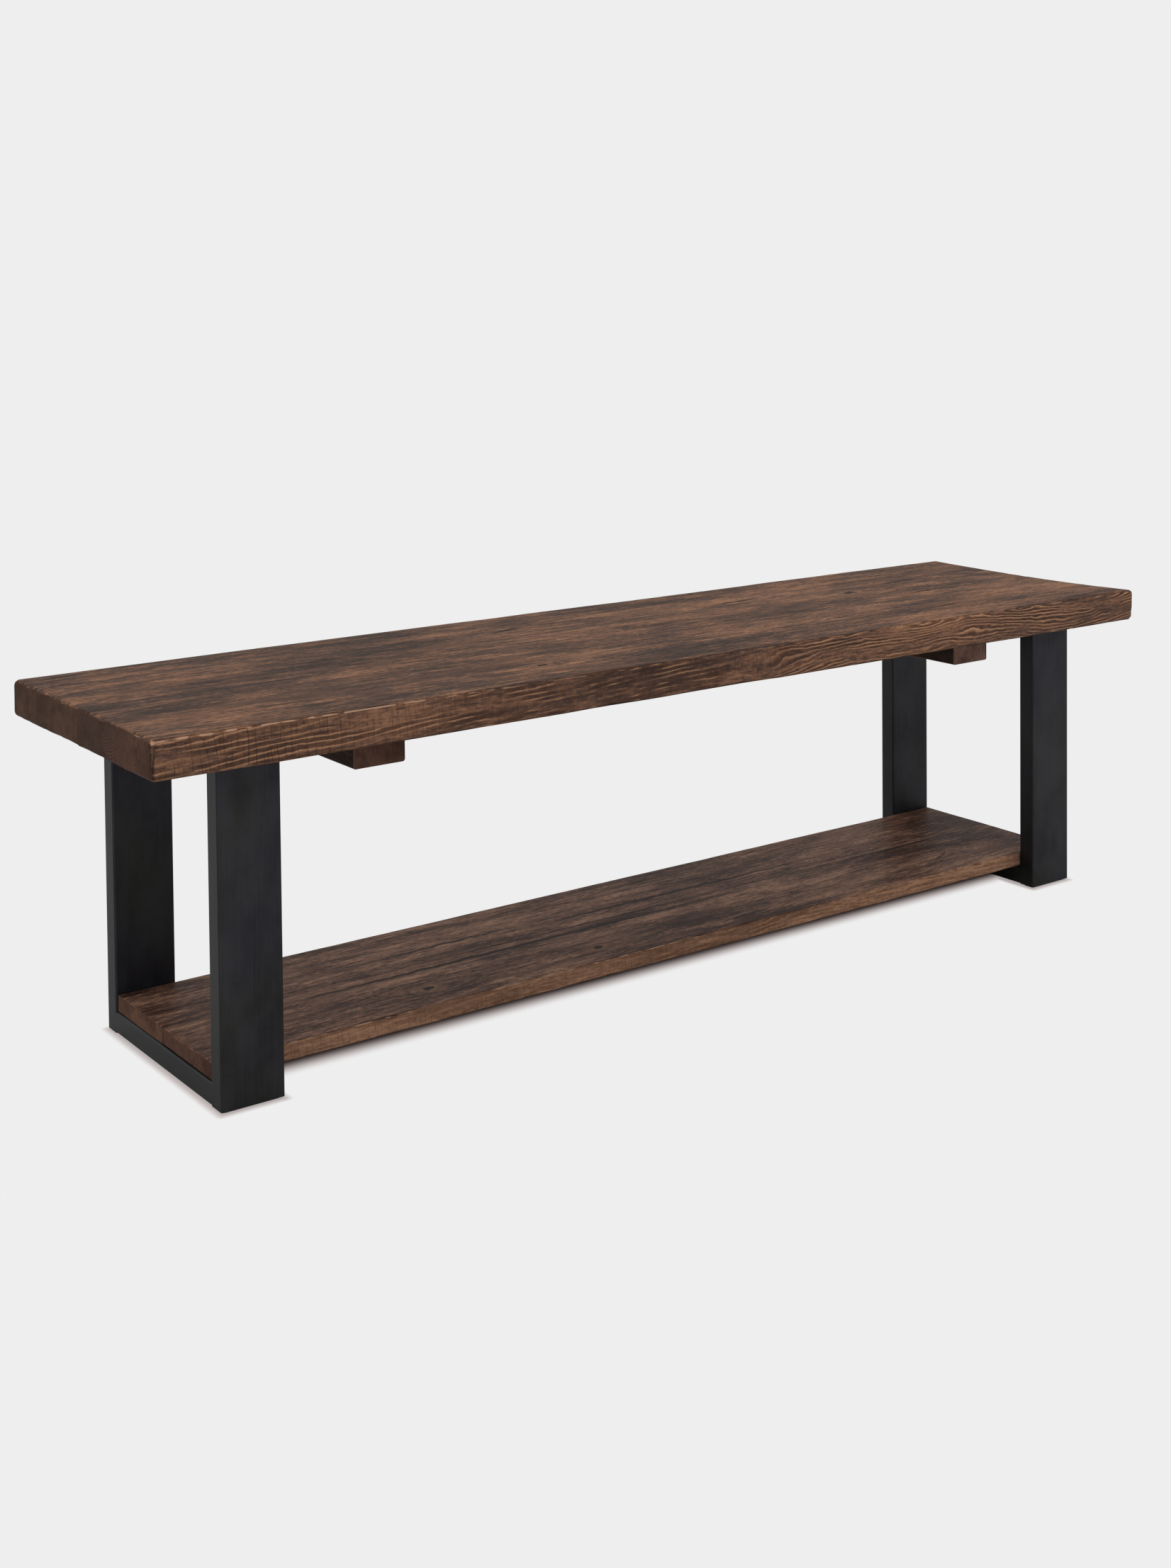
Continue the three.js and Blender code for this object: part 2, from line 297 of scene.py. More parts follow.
def add_knot(s, place, colour, knot, share):
    """A knot in the top at (x, y, radius), with a pale ring and dark curls round it."""
    at_x, at_y, radius = knot
    x, y, z = s.split(place)
    along = s.calc("DIVIDE", s.minus(x, at_x), 1.7 * radius)
    across = s.calc("DIVIDE", s.minus(y, at_y), radius)
    away = s.calc("SQRT", s.squares(along, across))
    away = weigh(s, away, (s.noise(place, (60, 110, 110), 4.0, 0.8), 3.4))
    ring = s.times(s.rise(away, 0.7, 1.1), s.fall(away, 1.2, 1.8))
    colour = s.mix(s.times(ring, s.times(share, 0.55)), colour, PALE_GRAIN)
    curls = s.calc("MULTIPLY_ADD", s.calc("SINE", s.times(away, 6.0)), 0.35, 0.35)
    halo = s.times(s.times(s.fall(away, 1.2, 3.0), curls), share)
    colour = s.mix(halo, colour, DARK_GRAIN)
    heart = s.times(s.fall(away, 0.45, 0.95), s.times(share, 0.9))
    return s.mix(heart, colour, DEEP_BROWN_AND_SHADE)


def add_check(s, place, colour, check, share):
    """A drying crack: (x, y, half its length, how far it climbs along it, half its width)."""
    at_x, at_y, half, slope, width = check
    x, y, z = s.split(place)
    along = s.minus(x, at_x)
    off = s.minus(s.minus(y, at_y), s.times(along, slope))
    off = s.calc("ABSOLUTE", weigh(s, off, (s.noise(place, (45, 0, 0), 2.0), 0.012)))
    ends = s.fall(s.calc("ABSOLUTE", along), half * 0.2, half)
    line = s.times(s.fall(off, width * 0.4, width), ends)
    return s.mix(s.times(line, s.times(share, 0.9)), colour, DEEP_BROWN_AND_SHADE)


def stained_grain(s, grain, tones, side_face):
    """The colour of stained long grain, quieter on the sides, with its height and its streaks."""
    x, y, z = s.split(grain)
    sway = weigh(s, 0.0, (s.noise(grain, (4, 14, 14), 2.0), 0.014))
    grain = s.join(x, s.calc("ADD", y, sway), s.calc("ADD", z, sway))
    broad = s.noise(grain, (2.4, 9, 16), 2.0)
    patches = s.noise(grain, (6, 34, 50), 4.0, 0.6)
    streaks = s.noise(grain, (13, 140, 220), 4.0, 0.65)
    lines = s.noise(grain, (26, 330, 420), 2.0, 0.5)
    fibres = s.noise(grain, (120, 380, 380), 3.0, 0.75)
    stains = s.noise(s.vector("ADD", grain, (7.3, 2.9, 1.1)), (14, 85, 120), 4.0, 0.65)
    reds = s.noise(s.vector("ADD", grain, (3.1, 1.7, 0.4)), (5, 18, 24), 4.0, 0.6)
    fleck = s.times(s.minus(fibres, 0.5), s.between(side_face, 1.1, 1.2))
    tone = weigh(s, fleck, (broad, 0.75), (patches, 0.90), (streaks, 0.80), (lines, 0.75))
    contrast = s.between(side_face, 1.0, 0.85)
    tone = s.calc("MULTIPLY_ADD", tone, contrast, s.between(side_face, 0.52, 0.60))
    ramp = s.add("ValToRGB", {"Fac": tone})
    bar = ramp.color_ramp.elements
    while len(bar) < len(tones):
        bar.new(1.0)
    for stop, position, shade in zip(bar, TONE_STOPS, tones):
        stop.position = position
        stop.color = shade
    colour = s.mix(s.times(s.rise(reds, 0.50, 0.72), 0.45), ramp.outputs[0], tones[3])
    stained = s.times(s.rise(stains, 0.57, 0.68), s.between(side_face, 0.65, 0.5))
    colour = s.mix(stained, colour, tones[0])
    height = weigh(s, 0.0, (fibres, 0.35), (streaks, 0.5), (lines, 0.4))
    return colour, height, streaks


def side_figure(s, colour, bands, grain, strength, share):
    """A side's colour with pale and dark ring lines over it, in patches, and how strong they are."""
    patchy = s.rise(s.noise(grain, (15, 40, 75), 2.0), 0.32, 0.62)
    shown = s.times(s.times(share, patchy), strength)
    pale = s.times(s.calc("POWER", bands, 1.6), 0.80)
    colour = s.mix(s.times(shown, pale), colour, PALE_GRAIN)
    dark = s.times(s.minus(1.0, bands), s.times(strength, 0.60))
    return s.mix(s.times(shown, dark), colour, DARK_GRAIN), shown


def end_figure(s, place, grain, bands, tones, tone, arcs, arc_tone):
    """End grain: a tone with thin arcs, pores and stains. arcs is (y, y, share).

    Up to the first y the arcs have that share of arc_tone, and from the second on a quarter of it.
    """
    y = s.split(place)[1]
    strong, weak, share = arcs
    reach = s.times(s.between(s.fall(y, strong, weak), 0.25, 1.0), share)
    colour = s.mix(s.times(s.calc("POWER", bands, 1.5), reach), tone, tones[arc_tone])
    pores = s.noise(place, (300, 340, 120), 3.0)
    colour = s.mix(s.times(s.fall(pores, 0.3, 0.6), 0.45), colour, DARK_GRAIN)
    clouds = s.noise(grain, (20, 26, 30), 3.0)
    return s.mix(s.times(s.fall(clouds, 0.35, 0.60), 0.55), colour, tones[0])


def wood_material(
    name, tones, seed, pith,
    rings=0.8, left_rings=0.35,  # how strong the figure of the sides is, on the right and on the left
    saw=0.65, saw_reach=-0.9,  # how dark the saw's cuts are, and how far right they go
    knots=(), side_knots=(), checks=(),  # as add_knot, bend_round_knots along z, and add_check take them
    end_tone=paint(60, 45, 39), arcs=(-0.18, -0.06, 0.95), arc_tone=3,  # as end_figure takes them
    side_tint=PALE_GRAIN, side_share=0.0,  # a colour over the sides, and how much of it
    gloss=0.045, roughest=0.72,  # the specular level, and the roughness of the roughest streaks
    turned=False,
):
    """Stained softwood, its grain along x, or along y if turned."""
    s = Surface(name, Specular_IOR_Level=gloss)
    place = s.place
    face_x, face_y, face_z = s.facing()
    if turned:
        x, y, z = s.split(place)
        place = s.join(y, x, z)
        face_x, face_y = face_y, face_x
    end_face = s.rise(face_x, 0.55, 0.85)
    side_face = s.rise(face_y, 0.55, 0.85)
    top_face = s.rise(face_z, 0.55, 0.85)
    bent = bend_round_knots(s, bend_round_knots(s, place, knots, 1), side_knots, 2)
    grain = s.vector("ADD", bent, (seed * 1.37, seed * 0.71, seed * 0.29))
    colour, height, streaks = stained_grain(s, grain, tones, side_face)
    colour = s.mix(s.times(side_face, side_share), colour, side_tint)

    x = s.split(place)[0]
    bands = ring_bands(s, bent, pith)
    to_right = s.rise(x, *LINES_TO_RINGS)
    side_bands = s.between(to_right, long_lines(s, bent), bands)
    strength = s.between(to_right, left_rings, rings)
    colour, shown = side_figure(s, colour, side_bands, grain, strength, side_face)
    cuts = s.times(saw_marks(s, place, saw_reach), side_face)
    colour = s.mix(s.times(cuts, saw), colour, DARK_GRAIN)
    end_colour = end_figure(s, place, grain, bands, tones, end_tone, arcs, arc_tone)
    colour = s.mix(end_face, colour, end_colour)

    for knot in knots:
        colour = add_knot(s, place, colour, knot, top_face)
    for check in checks:
        colour = add_check(s, place, colour, check, top_face)

    # pale rubbed-off stain, and a painted highlight in dashes along the top front arrises
    wear_and_highlight = s.add("Attribute", {}, attribute_name="wear_and_highlight").outputs["Fac"]
    colour = s.mix(s.times(s.rise(wear_and_highlight, 0.15, 0.9), 0.62), colour, RUBBED_EDGE_AND_HIGHLIGHT)
    # darker on the left end's upright arrises, in patches on the lower arrises, and along the seam
    darkening = s.add("Attribute", {}, attribute_name="darkening").outputs["Fac"]
    colour = s.mix(s.times(darkening, 0.85), colour, DEEP_BROWN_AND_SHADE)

    roughness = s.between(end_face, s.between(streaks, roughest - 0.2, roughest), 0.8)
    height = s.calc("ADD", height, s.times(shown, s.times(side_bands, 0.6)))
    height = s.minus(height, cuts)
    return s.finish(colour, roughness, height, WOOD_RELIEF)


# ---------------------------------------------------------------- steel and the small materials

STROKES_ALONG = 7  # cells of the brush strokes' noise in a metre along the strokes
STROKES_ACROSS = 900  # and across them


def steel_material(name, along):
    """Blackened steel, brushed along the named axis, with a cloudy patina.

    The faces towards the bench's ends are painted darker and greener, as painted shade.
    """
    s = Surface(name, Metallic=0.85, Specular_IOR_Level=0.5)
    brush = [STROKES_ALONG if axis == along else STROKES_ACROSS for axis in "XYZ"]
    strokes = s.noise(s.place, brush, 3.0, 0.7)
    clouds = s.noise(s.place, (22, 22, 14), 4.0, 0.55)
    tint = s.noise(s.place, (9, 9, 6), 2.0)
    colour = s.mix(s.rise(tint, 0.35, 0.65), paint(43, 42, 48), paint(46, 46, 44))
    colour = s.mix(s.times(s.rise(clouds, 0.42, 0.68), 0.5), colour, paint(58, 58, 62))
    colour = s.mix(s.times(s.fall(clouds, 0.30, 0.5), 0.5), colour, paint(27, 27, 30))
    colour = s.mix(s.times(s.rise(strokes, 0.5, 0.75), 0.35), colour, paint(70, 70, 74))
    # painted shade: darker and greener on the faces towards the bench's ends
    colour = s.mix(s.times(s.rise(s.facing()[0], 0.5, 0.9), 0.6), colour, paint(26, 28, 24))
    roughness = s.calc("ADD", s.between(strokes, 0.34, 0.54), s.times(clouds, 0.12))
    return s.finish(colour, roughness, strokes, 0.03 * MM)


def plated_material(name, light, dark):
    """Plated metal, a little stained."""
    s = Surface(name, Metallic=1.0)
    stains = s.noise(s.place, (160, 160, 160), 3.0)
    colour = s.mix(s.rise(stains, 0.35, 0.65), light, dark)
    return s.finish(colour, s.between(stains, 0.25, 0.5), stains, 0.02 * MM)


def felt_material():
    s = Surface("pressed_felt", Specular_IOR_Level=0.2)
    hairs = s.noise(s.place, (900, 900, 900), 4.0, 0.7)
    colour = s.mix(hairs, paint(20, 18, 17), paint(52, 48, 45))
    return s.finish(colour, 0.95, hairs, 0.4 * MM)


def plastic_material():
    s = Surface("moulded_plastic", Specular_IOR_Level=0.4)
    grain = s.noise(s.place, (700, 700, 700), 2.0)
    colour = s.mix(grain, paint(18, 18, 19), paint(30, 30, 31))
    return s.finish(colour, s.between(grain, 0.5, 0.7), grain, 0.05 * MM)


# ---------------------------------------------------------------- meshes

HASH_PRIMES = np.array([73856093, 19349663, 83492791], np.uint64)
HASH_STIR = np.uint64(0x45D9F3B)
HALF_WORD = np.uint64(16)
WORD = np.uint64(0xFFFFFFFF)

BOARD_STEPS = (3 * MM, 5 * MM, 2 * MM)  # between a board's mesh points along x, y and z
EDGE_STATIONS = np.array([0, 0.5, 1.0, 1.6, 2.4, 3.4, 4.8, 6.6]) * MM  # in from each end of an axis
INSIDE = 1e-7  # a point this close to a board's core is inside it, as on the glued side
ARRIS_TURN = 0.29  # at the middle of an arris the normal's largest part is this much less than 1
DIP_LENGTH = 0.16  # how far in from the right end a board dips
SEAM_HALF = 1.3 * MM

SHARP = math.radians(40)  # an edge that turns more than this is eased
NEARLY_FLAT = math.radians(0.5)


def scatter(cells):
    """A number from 0 to 1 for each row of three whole numbers, the same on every run."""
    mixed = (cells.astype(np.uint64) * HASH_PRIMES).sum(axis=1)
    for _ in range(2):
        mixed = ((mixed >> HALF_WORD) ^ mixed) * HASH_STIR & WORD
    mixed = (mixed >> HALF_WORD) ^ mixed
    return mixed.astype(float) / float(WORD)


def ripple(points, scale, seed=0):
    """Smooth noise from -1 to 1 at each point, with scale giving its cells per metre."""
    spread = points * np.array(scale) + 100 + 37.7 * seed
    cell = np.floor(spread).astype(np.int64)
    share = spread - cell
    share = share * share * (3 - 2 * share)
    total = np.zeros(len(points))
    for corner in itertools.product((0, 1), repeat=3):
        weight = np.prod(np.where(corner, share, 1 - share), axis=1)
        total += weight * scatter(cell + np.array(corner))
    return 2 * total - 1


def stations(low, high, step):
    """Places along an axis: even steps, and closer ones towards both ends."""
    edge = EDGE_STATIONS[EDGE_STATIONS < (high - low) / 3]
    count = max(2, int(round((high - low - 2 * edge[-1]) / step)))
    middle = np.linspace(low + edge[-1], high - edge[-1], count + 1)[1:-1]
    return np.concatenate([low + edge, middle, high - edge[::-1]])


def lattice_box(axes):
    """The surface of a box as points and quads, cut at the given stations along each axis."""
    counts = np.array([len(a) for a in axes])
    quads = []
    for axis in range(3):
        u, v = (axis + 1) % 3, (axis + 2) % 3
        i, j = np.meshgrid(np.arange(counts[u] - 1), np.arange(counts[v] - 1), indexing="ij")
        for end in (0, counts[axis] - 1):
            corners = []
            for du, dv in ((0, 0), (1, 0), (1, 1), (0, 1)):
                corner = np.zeros(i.shape + (3,), int)
                corner[..., axis] = end
                corner[..., u] = i + du
                corner[..., v] = j + dv
                corners.append(corner.reshape(-1, 3))
            quads.append(np.stack(corners if end else corners[::-1], axis=1))
    flat = np.concatenate(quads) @ np.array([counts[1] * counts[2], counts[2], 1])
    kept, index = np.unique(flat, return_inverse=True)
    cells = np.unravel_index(kept, counts)
    points = np.stack([axes[k][cells[k]] for k in range(3)], axis=1)
    return points, index.reshape(-1, 4)


def add_piece(name, mesh, material, smooth_to, node):
    """A new piece that stands for a CAD node, shaded smooth over edges of up to smooth_to degrees."""
    mesh.materials.clear()
    mesh.materials.append(material)
    mesh.shade_smooth()
    mesh.set_sharp_from_angle(angle=math.radians(smooth_to))
    piece = bpy.data.objects.new(name, mesh)
    SCENE.collection.objects.link(piece)
    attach(piece, "root")
    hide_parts(node)
    return piece


def ease_arrises(points, low, high, radius, seed):
    """A box's points with its arrises rounded, the way that each faces, and how near an arris it is."""
    ease = (radius * (1 + 0.35 * ripple(points, (14, 14, 6), seed)))[:, None]
    core = np.clip(points, low + ease, high - ease)
    out = points - core
    length = np.linalg.norm(out, axis=1)[:, None]
    divisor = np.maximum(length, 1e-9)
    points = core + out * np.minimum(1, ease / divisor)
    normal = np.where(length > INSIDE, out / divisor, 0)
    arris = np.clip((1 - np.abs(normal).max(axis=1)) / ARRIS_TURN, 0, 1) * (length[:, 0] > INSIDE)
    return points, normal, arris


def crest_of(arris):
    """1 along the middle of an arris, and 0 off it."""
    return np.clip(arris * 2.4 - 0.9, 0, 1)


def rubbed_and_highlit_edge(points, normal, arris, nick, seed):
    """Pale rubbed stain in every nick, and dashes on the top front arris, partly a painted highlight."""
    crest = crest_of(arris)
    # the top front arris, where the pale dashes are partly a painted highlight
    top_front = crest * (normal[:, 2] > 0.15) * (normal[:, 1] < -0.15)
    dashes = np.clip(2.4 * ripple(points, (110, 60, 60), seed + 6) + 0.5, 0, 1)
    rubbed = np.clip(1.3 * ripple(points, (6, 9, 9), seed + 8) + 0.95, 0, 1)
    rubbed *= np.clip((0.15 - points[:, 0]) / 0.2, 0, 1)
    return np.clip(top_front * dashes * rubbed + crest * nick, 0, 1)


def dark_seam_and_arrises(points, normal, arris, seam, seed):
    """How dark each point is made: on the left end's upright arrises, the lower arrises and by the seam.
    """
    upright = arris * (np.abs(normal[:, 2]) < 0.3) * (normal[:, 0] < 0)
    corners = upright * (ripple(points, (60, 60, 60), seed + 7) + 0.8)
    by_seam = np.clip(2 - np.abs(points[:, 1]) / SEAM_HALF, 0, 1)
    line = by_seam * np.clip(2.4 * ripple(points, (7, 0, 0), 9) + seam, 0, 1)
    below = crest_of(arris) * (normal[:, 2] < -0.15)
    darkened_below = below * np.clip(2.2 * ripple(points, (40, 60, 60), seed + 9), 0, 1)
    return np.clip(corners + line + darkened_below, 0, 1)


def worn_board(
    node, material,
    radius, chips,  # the radius of its arrises, and the depth of the chips in them
    joined_side,  # the side of y where it is glued to the next board, 1 or -1
    dip=0.0,  # how far the middle of the right end dips
    wave=0.5 * MM,  # how far the faces rise and fall
    seam=0.7,  # the larger, the more of the seam is dark
    seed=1,
):
    """A board as a fine mesh with eased and chipped arrises, that dips and waves a little."""
    low, high = (np.array(corner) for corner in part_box(node))
    if joined_side > 0:
        high[1] = 0.0
    else:
        low[1] = 0.0
    points, faces = lattice_box([stations(low[k], high[k], BOARD_STEPS[k]) for k in range(3)])

    soft_low, soft_high = low.copy(), high.copy()
    soft_high[1] += 4 * radius * (joined_side > 0)
    soft_low[1] -= 4 * radius * (joined_side < 0)
    points, normal, arris = ease_arrises(points, soft_low, soft_high, radius, seed)
    nick = np.clip(1.6 * ripple(points, (75, 75, 50), seed + 3) - 0.25, 0, 1)
    nick *= np.clip(ripple(points, (9, 9, 9), seed + 4) + 0.65, 0, 1)
    slow = wave * ripple(points, (3.2, 9, 9), 20)
    quick = 0.12 * MM * ripple(points, (25, 60, 60), seed + 5)
    points = points + normal * (slow + quick - chips * arris * nick)[:, None]

    past = np.clip((points[:, 0] - (high[0] - DIP_LENGTH)) / DIP_LENGTH, 0, 1)
    across = np.cos(math.pi * points[:, 1] / (CAD_BOX[1].y - CAD_BOX[0].y))
    points[:, 2] -= dip * past**2 * across

    mesh = bpy.data.meshes.new(node + "_worn")
    mesh.from_pydata(points.tolist(), [], faces.tolist())
    wear_and_highlight = rubbed_and_highlit_edge(points, normal, arris, nick, seed)
    darkening = dark_seam_and_arrises(points, normal, arris, seam, seed)
    for name, values in (("wear_and_highlight", wear_and_highlight), ("darkening", darkening)):
        mesh.attributes.new(name, "FLOAT", "POINT").data.foreach_set("value", values.astype(np.float32))
    return add_piece(node + "_worn", mesh, material, 60, node)


def eased(node, material, width, stretch=0.0):
    """A CAD piece with its sharp edges eased. stretch moves both its ends out along y."""
    mesh = bpy.data.meshes.new(node + "_eased")
    work = bmesh.new()
    work.from_mesh(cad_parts[node].data)
    bmesh.ops.remove_doubles(work, verts=work.verts, dist=0.005 * MM)
    bmesh.ops.dissolve_limit(work, angle_limit=NEARLY_FLAT, verts=work.verts, edges=work.edges)
    end_y = max(v.co.y for v in work.verts)
    for v in work.verts:
        if abs(v.co.y) > end_y - 0.1 * MM:
            v.co.y += math.copysign(stretch, v.co.y)
    sharp = [e for e in work.edges if e.is_manifold and e.calc_face_angle(0) > SHARP]
    bmesh.ops.bevel(
        work, geom=sharp, offset=width, segments=2, profile=0.5, affect="EDGES", clamp_overlap=True)
    bmesh.ops.triangulate(work, faces=work.faces)
    work.to_mesh(mesh)
    work.free()
    piece = add_piece(node + "_eased", mesh, material, 50, node)
    weighted = piece.modifiers.new("weighted", "WEIGHTED_NORMAL")
    weighted.keep_sharp = True
    return piece


# ---------------------------------------------------------------- the bench

ENDS = ("left", "right")
SIDES = ("front", "rear")
WELD = 3.1 * MM  # how far a rail's ends reach into the rounded corners of its legs, where they are welded
SEAT_DIP = 3 * MM  # how far the middle of the seat's right end dips


def add_seat():
    front = wood_material(
        "seat_front_pine", SEAT_TONES, seed=1.0, pith=((-0.072, 0.428), (-0.155, 0.335)),
        rings=1.0, left_rings=0.95, saw_reach=0.10, side_tint=paint(92, 76, 73), side_share=0.25,
        knots=[(-0.232, -0.117, 6 * MM)],
        side_knots=[(0.068, 0.400, 8 * MM), (0.430, 0.398, 5 * MM)],
        checks=[(-0.135, -0.140, 0.024, -1.2, 2.4 * MM), (0.456, -0.119, 0.050, 0.15, 4 * MM),
                (0.542, -0.008, 0.060, 0.1, 5 * MM), (0.02, -0.135, 0.06, 0.2, 2.4 * MM)])
    rear = wood_material(
        "seat_rear_pine", SEAT_TONES, seed=2.0, pith=((0.330, 0.405), (0.120, 0.480)),
        end_tone=paint(70, 53, 43), knots=[(0.427, 0.044, 11 * MM)],
        checks=[(-0.715, 0.171, 0.040, 0.1, 5 * MM), (-0.138, 0.101, 0.045, 0.25, 6 * MM),
                (0.555, 0.075, 0.060, 0.1, 4 * MM), (0.25, 0.09, 0.06, 0.1, 6 * MM)])
    worn_board("seat_board_front", front, 5.2 * MM, 2.8 * MM, 1, SEAT_DIP, seam=-0.8, seed=1)
    worn_board("seat_board_rear", rear, 6.4 * MM, 1.8 * MM, -1, SEAT_DIP, seam=-0.8, seed=2)


def add_shelf():
    front = wood_material(
        "shelf_front_pine", SHELF_TONES, seed=5.0, pith=((-0.062, 0.080), (-0.050, -0.020)),
        rings=0.45, left_rings=0.45, side_share=0.2, saw_reach=0.9, saw=0.12,
        end_tone=paint(82, 60, 50), arcs=(-0.02, 0.03, 0.9), arc_tone=1, gloss=0.03, roughest=0.6,
        knots=[(-0.367, -0.076, 8 * MM), (-0.128, -0.083, 6 * MM)],
        checks=[(-0.22, -0.018, 0.60, 0.005, 5 * MM), (0.10, -0.10, 0.06, 0.05, 3 * MM),
                (0.496, -0.069, 0.03, 0.5, 2 * MM)])
    rear = wood_material(
        "shelf_rear_pine", SHELF_TONES, seed=6.0, pith=((0.300, 0.060), (0.100, 0.120)),
        rings=0.6, side_share=0.1, saw_reach=0.9, saw=0.12,
        end_tone=paint(92, 67, 53), gloss=0.03, roughest=0.6,
        checks=[(-0.28, 0.045, 0.16, 0.02, 4 * MM), (0.08, 0.034, 0.34, 0.005, 5 * MM)])
    worn_board("shelf_board_front", front, 2.0 * MM, 2.6 * MM, 1, wave=0.2 * MM, seed=5)
    worn_board("shelf_board_rear", rear, 1.6 * MM, 1.0 * MM, -1, wave=0.2 * MM, seed=6)


def add_cleats():
    for end, end_tone, seed in (("left", paint(90, 65, 55), 8.0), ("right", paint(117, 90, 78), 9.0)):
        # painted shade: the cleats' sides, under the seat, are painted almost black
        wood = wood_material(
            f"cleat_pine_{end}", SHELF_TONES, seed, pith=((0.30, 0.20), (0.30, 0.20)),
            rings=0.1, left_rings=0.1, end_tone=end_tone, arcs=(0.0, 0.1, 0.1),
            side_tint=DEEP_BROWN_AND_SHADE, side_share=0.9, turned=True)
        eased(f"seat_cleat_{end}", wood, 0.8 * MM)
        for i in range(1, 5):
            eased(f"cleat_screw_{end}_{i}", ZINC, 0.15 * MM)


def add_frame(end):
    for side in SIDES:
        eased(f"leg_{end}_{side}", STEEL_UPRIGHT, 0.3 * MM)
        eased(f"leg_end_cap_{end}_{side}", PLASTIC, 0.3 * MM)
        eased(f"foot_pad_{end}_{side}", FELT, 0.4 * MM)
        for i in (1, 2):
            eased(f"frame_bolt_{end}_{side}_{i}", ZINC, 0.2 * MM)
            eased(f"seat_insert_{end}_{side}_{i}", BRASS, 0.15 * MM)
    eased(f"base_rail_{end}", STEEL_ACROSS, 0.3 * MM, stretch=WELD)
    eased(f"top_plate_{end}", STEEL_ACROSS, 0.6 * MM)
    for i in range(1, 5):
        eased(f"shelf_screw_{end}_{i}", ZINC, 0.2 * MM)


# ---------------------------------------------------------------- floor and light

BACKDROP = 0.855  # the brightness of the pale studio
FLOOR_SIZE = 120
FLOOR_DROP = 0.2 * MM  # keeps the floor just clear of the felt pads
MATT_GREY = (0.80, 0.80, 0.80, 1)  # the floor as the bench sees it
SHADE = (0.38, 0.33, 0.32, 1)  # and as the camera sees it in the shadow
SHADE_EDGE = (0.80, 0.66, 0.64, 1)  # what the backdrop's colour turns to towards the shadow
UNDER_SHELF = (-66 * MM, -22 * MM)  # the shelf's shadow is full this far inside its edge, and gone here
BY_A_FRAME = (-2 * MM, 10 * MM)  # a frame's is full just inside its base, and gone this far outside
FRAME_SHADOW = 0.5  # how strong a frame's shadow is beside the shelf's


def distance_from(s, place, middle_x, half_x, half_y):
    """How far a place on the floor lies outside a rectangle at x = middle_x and its twin at -middle_x.

    Inside one it is below zero.
    """
    x, y, z = s.split(place)
    off_middle = s.minus(s.calc("ABSOLUTE", x), middle_x)
    out_x = s.minus(s.calc("ABSOLUTE", off_middle), half_x)
    out_y = s.minus(s.calc("ABSOLUTE", y), half_y)
    outside = s.vector("MAXIMUM", s.join(out_x, out_y, 0.0), (0, 0, 0))
    past_edge = s.add("VectorMath", {0: outside}, operation="LENGTH").outputs["Value"]
    return s.calc("ADD", past_edge, s.calc("MINIMUM", s.calc("MAXIMUM", out_x, out_y), 0.0))


def shadow_share(s):
    """How far a place on the floor is in the bench's shadow, from 0 to 1."""
    place = s.add("TexCoord", {}).outputs["Object"]
    shelf_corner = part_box("shelf_board_rear")[1]
    leg_low, leg_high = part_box("leg_right_rear")
    middle_x = (leg_low.x + leg_high.x) / 2
    from_shelf = distance_from(s, place, 0.0, shelf_corner.x, shelf_corner.y)
    from_frame = distance_from(s, place, middle_x, leg_high.x - middle_x, leg_high.y)
    by_frame = s.times(s.fall(from_frame, *BY_A_FRAME), FRAME_SHADOW)
    return s.calc("MAXIMUM", s.fall(from_shelf, *UNDER_SHELF), by_frame)


def floor_material():
    """To the camera as bright as the backdrop, and shaded in the shadow. To the bench matt grey."""
    material = bpy.data.materials.new("pale_floor")
    material.use_nodes = True
    s = Nodes(material.node_tree)
    s.tree.nodes.clear()
    share = shadow_share(s)
    tint = s.mix(share, (BACKDROP, BACKDROP, BACKDROP, 1), SHADE_EDGE)
    glow = s.add("Emission", {"Color": tint, "Strength": 1.0}).outputs[0]
    matt = s.add("BsdfDiffuse", {"Color": MATT_GREY}).outputs[0]
    shaded = s.add("BsdfDiffuse", {"Color": SHADE}).outputs[0]
    shown = s.add("MixShader", {0: share, 1: glow, 2: shaded}).outputs[0]
    seen = s.add("LightPath", {}).outputs["Is Camera Ray"]
    s.add("OutputMaterial", {0: s.add("MixShader", {0: seen, 1: matt, 2: shown}).outputs[0]})
    return material


def add_floor():
    """A pale floor that shows the bench's shadow only under the shelf and close to the frames."""
    bpy.ops.mesh.primitive_plane_add(size=FLOOR_SIZE, location=(0, 0, -FLOOR_DROP))
    floor = bpy.context.object
    floor.name = "floor"
    floor.data.materials.append(floor_material())


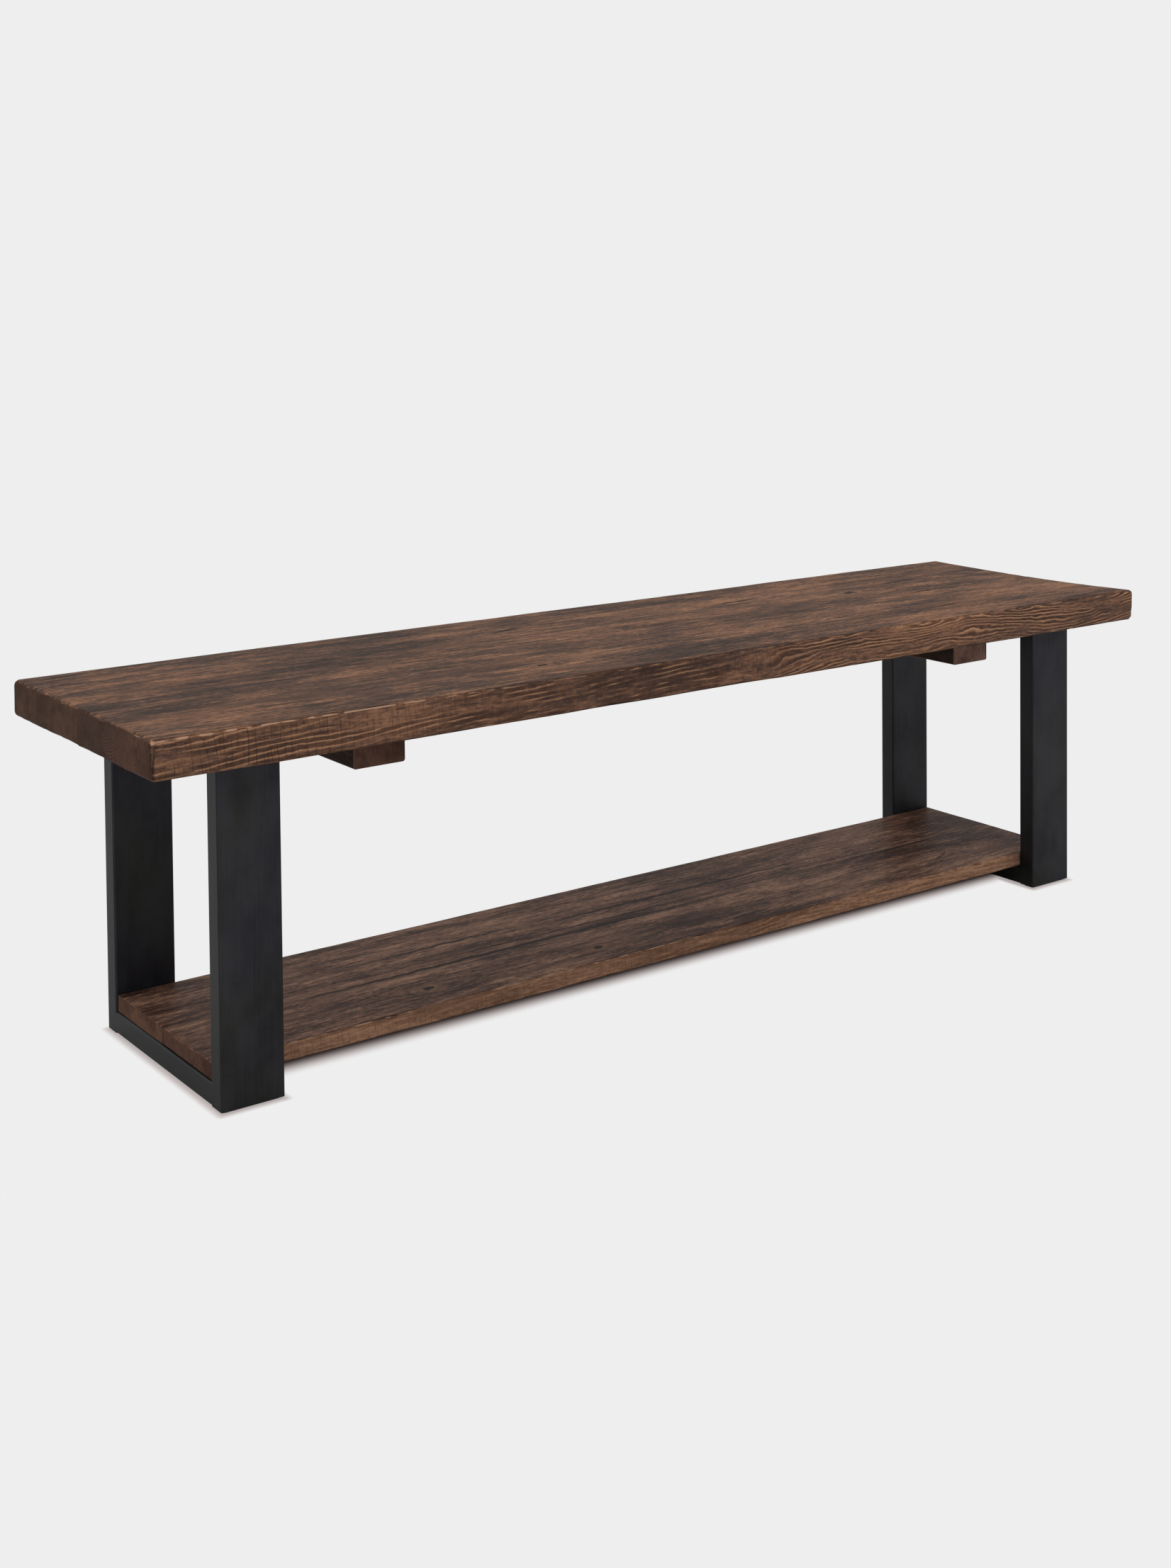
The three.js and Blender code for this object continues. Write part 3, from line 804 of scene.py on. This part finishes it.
BRIGHT_SIDE = (-0.45, 0.75, 0.48)  # the direction that most of the studio's light comes from


def add_world():
    """An even pale studio that lights the bench from behind, above and the left more than in front."""
    world = bpy.data.worlds.new("studio")
    SCENE.world = world
    world.use_nodes = True
    s = Nodes(world.node_tree)
    s.tree.nodes.clear()
    direction = s.add("TexCoord", {}).outputs["Generated"]
    product = s.add("VectorMath", {0: direction, 1: BRIGHT_SIDE}, operation="DOT_PRODUCT")
    light = s.between(s.rise(product.outputs["Value"], -0.9, 0.9), 0.45, 1.05)
    studio = s.add("Background", {0: s.join(light, light, light), 1: 1.0}).outputs[0]
    plain = s.add("Background", {0: (BACKDROP, BACKDROP, BACKDROP, 1), 1: 1.0}).outputs[0]
    seen = s.add("LightPath", {}).outputs["Is Camera Ray"]
    s.add("OutputWorld", {0: s.add("MixShader", {0: seen, 1: studio, 2: plain}).outputs[0]})


def add_softbox(name, place, target, size, power):
    lamp = bpy.data.lights.new(name, "AREA")
    lamp.shape = "RECTANGLE"
    lamp.size, lamp.size_y = size
    lamp.energy = power
    holder = bpy.data.objects.new(name, lamp)
    SCENE.collection.objects.link(holder)
    holder.location = place
    holder.rotation_euler = (Vector(target) - Vector(place)).to_track_quat("-Z", "Y").to_euler()


def add_lights():
    add_softbox("front_softbox", (1.2, -3.0, 2.6), target=(0.1, 0, 0.3), size=(2.4, 1.6), power=26)
    add_softbox("left_softbox", (-3.2, 0.6, 1.5), target=(-0.5, 0, 0.3), size=(1.6, 1.6), power=11)


# ---------------------------------------------------------------- put together

SCENE.view_settings.view_transform = "Standard"
add_camera()
STEEL_UPRIGHT = steel_material("brushed_steel_upright", "Z")
STEEL_ACROSS = steel_material("brushed_steel_across", "Y")
ZINC = plated_material("zinc_plate", paint(176, 176, 172), paint(120, 118, 112))
BRASS = plated_material("turned_brass", paint(190, 158, 92), paint(134, 104, 56))
FELT = felt_material()
PLASTIC = plastic_material()
add_seat()
add_shelf()
add_cleats()
for end in ENDS:
    add_frame(end)
add_floor()
add_world()
add_lights()
